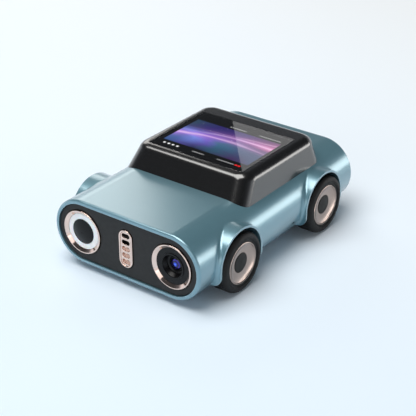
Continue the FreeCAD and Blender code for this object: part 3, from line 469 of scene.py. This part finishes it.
# rows of marks beside the picture, in millimetres: dashes from one x to another at a y, and dots at an x
DASHES = [(-7.5, 3.5, 29.3), (12.0, 26.0, 29.3), (-5.5, 2.0, -7.5), (10.5, 21.0, -7.5)]
DASH_PITCH = 1.45
DASH_SHARE = 0.66
DASH_HALF_HEIGHT = 0.42
DOTS = [(-24.2, WHITE), (-21.3, WHITE), (-18.5, WHITE), (-15.5, WHITE), (22.6, RED), (24.6, RED)]
DOT_Y = -7.5
DOT_RADIUS = 0.8


def night_sky(shader, place, x, y):
    """Clouds, three bright curved streaks and small stars; x and y run from -1 to 1 over the picture."""
    wide = shader.add("Mapping", {"Vector": place, "Scale": (0.45, 1.1, 1.0)}).outputs[0]
    fine = shader.add("Mapping", {"Vector": place, "Scale": (0.12, 1.0, 1.0)}).outputs[0]
    clouds = shader.math("SUBTRACT", shader.noise(75.0, 3.0, 0.5, wide), 0.5)
    wisps = shader.math("MULTIPLY", shader.math("SUBTRACT", shader.noise(330.0, 3.0, 0.5, fine), 0.5), 0.22)
    left = shader.remap(x, -1.0, 1.0, 0.0, 1.0)

    top = shader.ramp(shader.math("MULTIPLY_ADD", clouds, 0.5, left), TOP_SKY)
    middle = shader.ramp(shader.math("MULTIPLY_ADD", clouds, 0.7, left), MIDDLE_SKY)
    bottom = shader.ramp(shader.math("MULTIPLY_ADD", clouds, 0.7, left), BOTTOM_SKY)
    sky = shader.mix(shader.remap(y, -1.0, -0.25, 0.0, 1.0), bottom, middle)
    sky = shader.mix(shader.remap(shader.math("ADD", y, wisps), 0.05, 0.40, 0.0, 1.0), sky, top)
    for level, rise, bow, left_half, right_half, left_power, right_power, left_tint, right_tint in STREAKS:
        line = shader.math("MULTIPLY_ADD", shader.math("MULTIPLY", x, x), bow,
                           shader.math("MULTIPLY_ADD", x, rise, level))
        over = shader.math("ADD", shader.math("SUBTRACT", y, line), wisps)
        spread = shader.math("DIVIDE", over, shader.remap(x, -1.0, 1.0, left_half, right_half))
        square = shader.math("MULTIPLY", spread, spread)
        fall = shader.math("DIVIDE", 1.0, shader.math("MULTIPLY_ADD", square, 1.2, 1.0))
        power = shader.remap(x, -1.0, 1.0, left_power, right_power)
        tint = shader.mix(left, left_tint, right_tint)
        sky = shader.mix(shader.math("MULTIPLY", fall, power), sky, tint)
        core = shader.math("MULTIPLY", shader.math("POWER", fall, 6.0), shader.math("MULTIPLY", power, 0.6))
        sky = shader.mix(core, sky, (1.0, 0.80, 1.0))
    cell = shader.add("TexVoronoi", {"Vector": place, "Scale": 330.0})
    stars = shader.math("MULTIPLY", shader.math("LESS_THAN", cell.outputs["Distance"], 0.085),
                        shader.math("GREATER_THAN", y, 0.1))
    return shader.mix(shader.math("MULTIPLY", stars, 0.6), sky, (0.8, 0.85, 1.0))


def add_marks(shader, face, across, along):
    """Draws the rows of dashes and dots over the face's colour."""
    for first, last, row in DASHES:
        near = shader.math("COMPARE", along, row * MM, DASH_HALF_HEIGHT * MM)
        span = shader.math("COMPARE", across, (first + last) / 2 * MM, (last - first) / 2 * MM)
        step = shader.math("FRACT", shader.math("DIVIDE", across, DASH_PITCH * MM))
        beat = shader.math("LESS_THAN", step, DASH_SHARE)
        shown = shader.math("MULTIPLY", shader.math("MULTIPLY", near, span), beat)
        face = shader.mix(shader.math("MULTIPLY", shown, 0.55), face, WHITE)
    flat = shader.add("CombineXYZ", {0: across, 1: along}).outputs[0]
    for centre, tint in DOTS:
        gap = shader.add("VectorMath", {0: flat, 1: (centre * MM, DOT_Y * MM, 0.0)}, operation="DISTANCE")
        face = shader.mix(shader.math("LESS_THAN", gap.outputs["Value"], DOT_RADIUS * MM), face, tint)
    return face


def lit_display():
    """A dark panel with a night sky in its middle, and rows of dashes and dots before and behind it."""
    shader = Shader("lit_display", Roughness=0.4, Specular_IOR_Level=0.1)
    place = shader.place()
    split = shader.add("SeparateXYZ", {0: place})
    across, along = split.outputs["X"], split.outputs["Y"]
    x = shader.math("DIVIDE", across, PICTURE_HALF[0])
    y = shader.math("DIVIDE", shader.math("SUBTRACT", along, PICTURE_Y), PICTURE_HALF[1])
    inside = shader.math("MULTIPLY", shader.math("LESS_THAN", shader.math("ABSOLUTE", x), 1.0),
                         shader.math("LESS_THAN", shader.math("ABSOLUTE", y), 1.0))
    face = shader.mix(inside, (0.0, 0.0, 0.0), night_sky(shader, place, x, y))
    shader.link(add_marks(shader, face, across, along), "Emission Color")
    shader.surface.inputs["Emission Strength"].default_value = 1.0
    shader.link(shader.mix(inside, (0.002, 0.002, 0.0025), (0.006, 0.006, 0.007)), "Base Color")
    return shader.material


def dress_cad_nodes():
    """Gives every CAD node a material of its own kind; the rims' differs from their slot's."""
    looks = {
        "shell_paint": shell_paint(),
        "panel_black": moulded("panel_black", (0.013, 0.013, 0.013), 0.52, specular=0.3),
        "cabin_gloss": cabin_gloss(),
        "screen_glass": screen_glass(),
        "display": lit_display(),
        "rose_metal": rose_metal(),
        "spun": shaded_spun_metal(),
        "diffuser_white": frosted_white(),
        "lens_black": black_lens(),
        "camera_black": moulded("camera_black", (0.003, 0.003, 0.0034), 0.3, 3200.0, 0.002, specular=0.22),
        "lens_coated": lens_with_painted_reflections(),
        "tyre_rubber": tyre_rubber(),
        "cap_black": moulded("cap_black", (0.011, 0.0105, 0.0095), 0.5, specular=0.22),
        "steel": turned_metal("steel", (0.56, 0.57, 0.58), 0.28),
        "brass": turned_metal("brass", (0.80, 0.58, 0.26), 0.26),
        "acetal": moulded("acetal", (0.62, 0.62, 0.59), 0.4, 1800.0, 0.006),
        "circuit": solder_mask(),
        "battery_wrap": moulded("battery_wrap", (0.02, 0.07, 0.22), 0.3, 900.0, 0.01, 0.4),
    }
    for part in frame["record"]["subparts"]:
        node = frame["nodes"][part["node"]]
        node.data.materials.clear()
        # the rims take the darker spun copy of the rose-gold, which is painted shade
        look = looks["spun" if part["node"].startswith("rim_") else part["material_slot"]]
        node.data.materials.append(look)
    return looks


# ---------------------------------------------------------------- detailed pieces

SHARP_ANGLE = math.radians(28.0)


def finish_mesh(piece, slot, body, replaced=()):
    """Cleans a new piece's mesh, gives it its slot's finish and rides it on its body."""
    work = bmesh.new()
    work.from_mesh(piece.data)
    bmesh.ops.remove_doubles(work, verts=work.verts, dist=1e-6)
    bmesh.ops.dissolve_degenerate(work, edges=work.edges, dist=1e-7)
    bmesh.ops.recalc_face_normals(work, faces=work.faces)
    work.to_mesh(piece.data)
    work.free()
    for face in piece.data.polygons:
        face.use_smooth = True
    piece.data.set_sharp_from_angle(angle=SHARP_ANGLE)
    piece.data.materials.clear()
    piece.data.materials.append(LOOKS[slot])
    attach(piece, body)
    if replaced:
        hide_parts(*replaced)


def turned(name, loop, place, steps=96, notch=None):
    """Turns a closed loop of (along, radius) in millimetres.

    place(along, radius, angle) gives the point, and notch(step, radius) how far to sink it.
    """
    mesh = bpy.data.meshes.new(name)
    points, faces = [], []
    for step in range(steps):
        angle = 2 * math.pi * step / steps
        for along, radius in loop:
            cut = notch(step, radius) if notch else 0.0
            points.append(place(along, radius - cut, angle) * MM)
    count = len(loop)
    for step in range(steps):
        here, there = step * count, (step + 1) % steps * count
        for k in range(count):
            after = (k + 1) % count
            faces.append((here + k, here + after, there + after, there + k))
    mesh.from_pydata(points, [], faces)
    return new_object(name, mesh)


def bend(centre, radius, start, end, steps=8):
    """Points of an arc in a loop; the angles are in degrees."""
    turns = [math.radians(start + (end - start) * k / steps) for k in range(steps + 1)]
    return [(centre[0] + radius * math.cos(t), centre[1] + radius * math.sin(t)) for t in turns]


TYRE_BORE = 11.35
TREAD_BLOCKS = 48
STEPS_PER_BLOCK = 6
NOTCH = 0.22
NOTCHED_FROM = 15.9
GROOVE_OFFSET = 1.9
# from the outer shoulder to the rim, as (depth behind the outer face, radius), with a raised ring
SIDEWALL = [(0.0, 13.45), (0.14, 13.35), (0.14, 13.15), (0.0, 13.05), (0.12, 12.72), (0.6, 12.45),
            (0.6, TYRE_BORE)]


def tyre_loop(inner, outer, tread):
    """A tyre's section: round shoulders, two grooves round the tread and the outer wall."""
    shoulder, groove, slope, deep = 2.5, 0.5, 0.12, 0.35
    middle = (inner + outer) / 2
    loop = [(inner + 0.6, TYRE_BORE), (inner, TYRE_BORE + 0.65)]
    loop += bend((inner + shoulder, tread - shoulder), shoulder, 180, 90)
    for centre in (middle - GROOVE_OFFSET, middle + GROOVE_OFFSET):
        loop += [(centre - groove, tread), (centre - groove + slope, tread - deep),
                 (centre + groove - slope, tread - deep), (centre + groove, tread)]
    loop += bend((outer - shoulder, tread - shoulder), shoulder, 90, 0)
    return loop + [(outer - depth, radius) for depth, radius in SIDEWALL]


def tread_notch(step, radius):
    """A shallow cut across the tread between two blocks."""
    return NOTCH if step % STEPS_PER_BLOCK == 0 and radius > NOTCHED_FROM else 0.0


def add_tyres():
    """A detailed tyre in place of each CAD one."""
    for end in ("front", "rear"):
        for hand, side in (("right", 1), ("left", -1)):
            node = f"tyre_{end}_{hand}"
            low, high = (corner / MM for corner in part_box(node))
            y, z, tread = (low.y + high.y) / 2, (low.z + high.z) / 2, (high.z - low.z) / 2
            inner, outer = sorted((abs(low.x), abs(high.x)))

            def place(along, radius, angle, side=side, y=y, z=z):
                return Vector((side * along, y + radius * math.cos(angle), z + radius * math.sin(angle)))

            piece = turned(f"tread_{end}_{hand}", tyre_loop(inner, outer, tread), place,
                           TREAD_BLOCKS * STEPS_PER_BLOCK, tread_notch)
            finish_mesh(piece, "tyre_rubber", f"wheel_{end}_{hand}", (node,))


def forward(x, front, z):
    """Places a turned loop in the front of the car; along runs backwards from its front face."""
    def place(along, radius, angle):
        return Vector((x + radius * math.cos(angle), front + along, z + radius * math.sin(angle)))
    return place


LENS_RADIUS = 3.35
LENS_CURVE = 6.2


def add_camera_optics():
    """The domed front lens and the black ring that holds it in the barrel."""
    low, high = (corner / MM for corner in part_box("camera_lens"))
    place = forward((low.x + high.x) / 2, low.y, (low.z + high.z) / 2)
    depth, rim = high.y - low.y, (high.x - low.x) / 2
    glass, ball = LENS_RADIUS, LENS_CURVE
    tilt = math.degrees(math.asin(glass / ball))
    dome = bend((ball, 0.0), ball, 180, 180 - tilt, 16)
    loop = dome + [(depth, glass), (depth, 0.0)]
    finish_mesh(turned("lens_front", loop, place), "lens_coated", "chassis", ("camera_lens",))
    edge = dome[-1][0]
    seat = [(edge + 0.1, glass + 0.02), (edge - 0.15, glass + 0.12), (edge - 0.15, glass + 0.3),
            (edge + 0.25, rim - 0.12), (edge + 0.35, rim), (depth, rim), (depth, glass + 0.02)]
    finish_mesh(turned("lens_ring", seat, place), "camera_black", "chassis")


def stadium(x, z, half_width, half_height, steps=12):
    """Points round a shape with two straight sides and two half-round ends."""
    radius = min(half_width, half_height)
    points = []
    for quarter, (right, up) in enumerate(((1, 1), (-1, 1), (-1, -1), (1, -1))):
        for k in range(steps + 1):
            turn = math.radians(90 * quarter + 90 * k / steps)
            points.append((x + right * (half_width - radius) + radius * math.cos(turn),
                           z + up * (half_height - radius) + radius * math.sin(turn)))
    return [p for k, p in enumerate(points) if math.dist(p, points[k - 1]) > 1e-6]


def cut_plate(name, outlines, front, back, rounding):
    """A plate that faces forward, its outer line first and its holes after, with rounded edges."""
    curve = bpy.data.curves.new(name, "CURVE")
    curve.dimensions = "2D"
    curve.fill_mode = "BOTH"
    curve.extrude = ((back - front) / 2 - rounding) * MM
    curve.bevel_depth = rounding * MM
    curve.bevel_resolution = 3
    curve.offset = -rounding * MM
    for outline in outlines:
        spline = curve.splines.new("POLY")
        spline.points.add(len(outline) - 1)
        spline.use_cyclic_u = True
        for point, (x, z) in zip(spline.points, outline):
            point.co = (x * MM, z * MM, 0, 1)
    source = new_object(name + "_outline", curve)
    mesh = bpy.data.meshes.new_from_object(source)
    bpy.data.objects.remove(source)
    for vertex in mesh.vertices:
        x, z, out = vertex.co
        vertex.co = (x, (front + back) / 2 * MM - out, z)
    return new_object(name, mesh)


SLOT_PITCH = 3.67
SLOT_HALF = (2.5, 1.2)
SCOOP_FRONT = 0.95
SCOOP_DEPTH = 1.7
SCOOP_BACK = 3.1
SCOOP_WALL = 0.35
SCOOP_NARROWING = 0.98
SCOOP_CURVE_STEPS = 8


def scoop(name, x, front, z):
    """A closed block with a polished hollow in its front, behind one slot of the pill."""
    wide, tall = SLOT_HALF
    layers = [(SCOOP_WALL, SCOOP_BACK), (SCOOP_WALL, SCOOP_FRONT), (0.0, SCOOP_FRONT)]
    for k in range(1, SCOOP_CURVE_STEPS + 1):
        turn = math.radians(90 * k / SCOOP_CURVE_STEPS)
        grow = -tall * (1 - math.cos(turn)) * SCOOP_NARROWING
        layers.append((grow, SCOOP_FRONT + SCOOP_DEPTH * math.sin(turn)))
    rings = [[(px, front + depth, pz) for px, pz in stadium(x, z, wide + grow, tall + grow)]
             for grow, depth in layers]
    count = len(rings[0])
    points = [Vector(p) * MM for ring in rings for p in ring]
    faces = [tuple(range(count)), tuple(range((len(rings) - 1) * count, len(rings) * count))]
    for layer in range(len(rings) - 1):
        for k in range(count):
            after = (k + 1) % count
            a, b = layer * count, (layer + 1) * count
            faces.append((a + k, a + after, b + after, b + k))
    mesh = bpy.data.meshes.new(name)
    mesh.from_pydata(points, [], faces)
    return new_object(name, mesh)


def add_pill():
    """The pill between the eyes: a lip, a face with five slots, and hollows behind the lower three."""
    low, high = (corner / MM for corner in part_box("grille_bezel"))
    x, z, front, back = 0.0, (low.z + high.z) / 2, low.y, high.y
    wide, tall = (high.x - low.x) / 2, (high.z - low.z) / 2

    def outline(inset):
        return stadium(x, z, wide - inset, tall - inset)

    lip = cut_plate("pill_lip", [outline(0.0), outline(0.95)], front, back, 0.42)
    finish_mesh(lip, "rose_metal", "chassis", ("grille_bezel",))
    slots = [stadium(x, z + k * SLOT_PITCH, *SLOT_HALF) for k in range(-2, 3)]
    face = cut_plate("pill_face", [outline(0.97), *slots], front + 0.4, front + 1.1, 0.25)
    finish_mesh(face, "rose_metal", "chassis")
    for k in range(-2, 1):
        finish_mesh(scoop(f"pill_scoop_{k + 3}", x, front, z + k * SLOT_PITCH), "rose_metal", "chassis")
    well = cut_plate("pill_well", [outline(1.0)], front + 3.2, back - 0.05, 0.1)
    finish_mesh(well, "panel_black", "chassis")


# ---------------------------------------------------------------- build

add_camera()
add_floor()
add_studio()
LOOKS = dress_cad_nodes()
add_tyres()
add_camera_optics()
add_pill()
